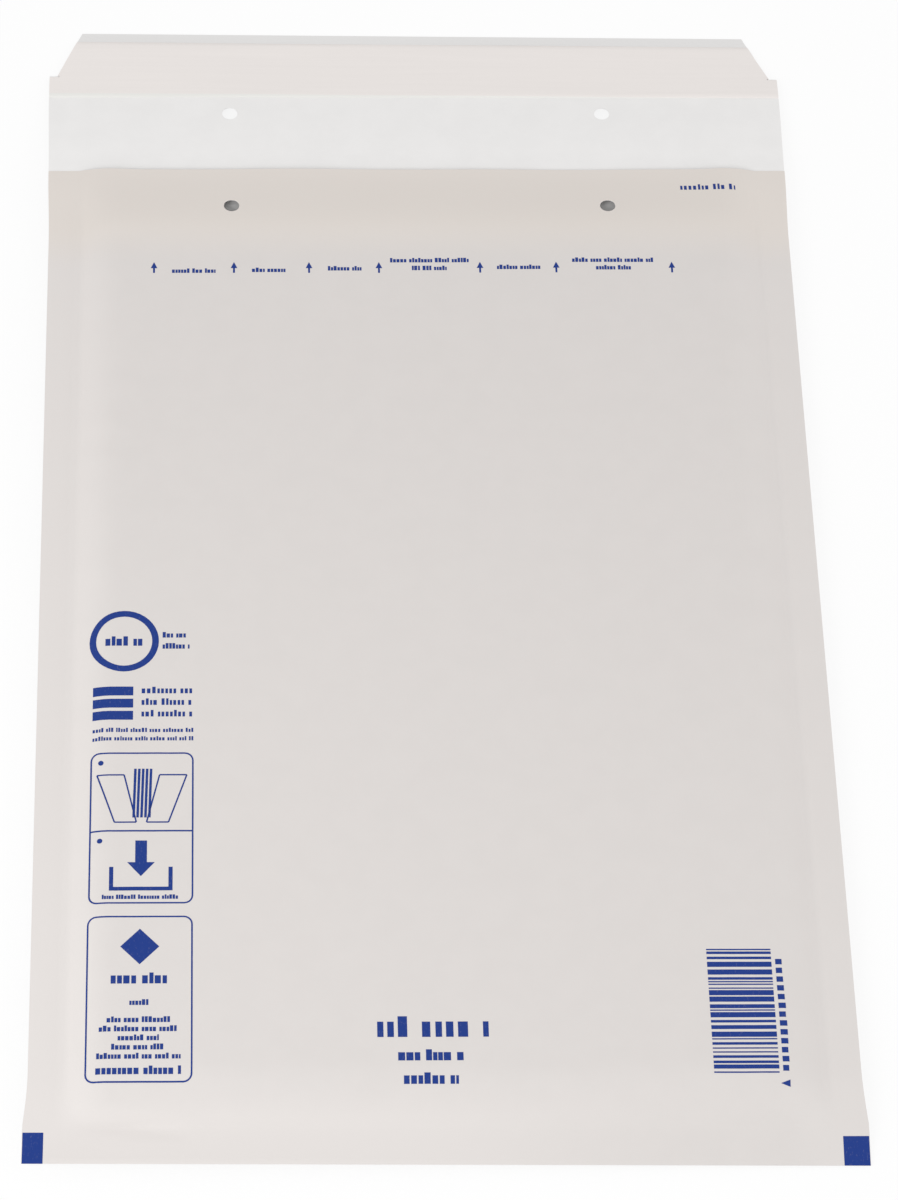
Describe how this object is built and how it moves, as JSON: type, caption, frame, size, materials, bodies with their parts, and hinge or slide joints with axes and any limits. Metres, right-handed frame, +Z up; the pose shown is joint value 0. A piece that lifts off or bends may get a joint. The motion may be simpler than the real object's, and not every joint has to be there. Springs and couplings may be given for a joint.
{
  "type": "padded envelope",
  "caption": "Paper mailing envelope padded with a bubble film pouch, lying on its back with its peel-and-seal flap opened out flat.",
  "frame": {"origin": "on the floor, under the middle of the envelope laid open", "axes": "+X across the front to the right, +Y from the bottom edge to the flap's tip, +Z up out of the front panel"},
  "size_m": [0.24, 0.4, 0.0095],
  "materials": {
    "white_paper": "matt, uncoated",
    "bubble_film": "clear, glossy",
    "hot_melt": "tacky, satin",
    "release_paper": "smooth, silicone coated"
  },
  "bodies": {
    "root": {"paper_envelope": "white_paper", "bubble_liner": "bubble_film", "adhesive_strip": "hot_melt", "release_liner": "release_paper"}
  },
  "joints": []
}
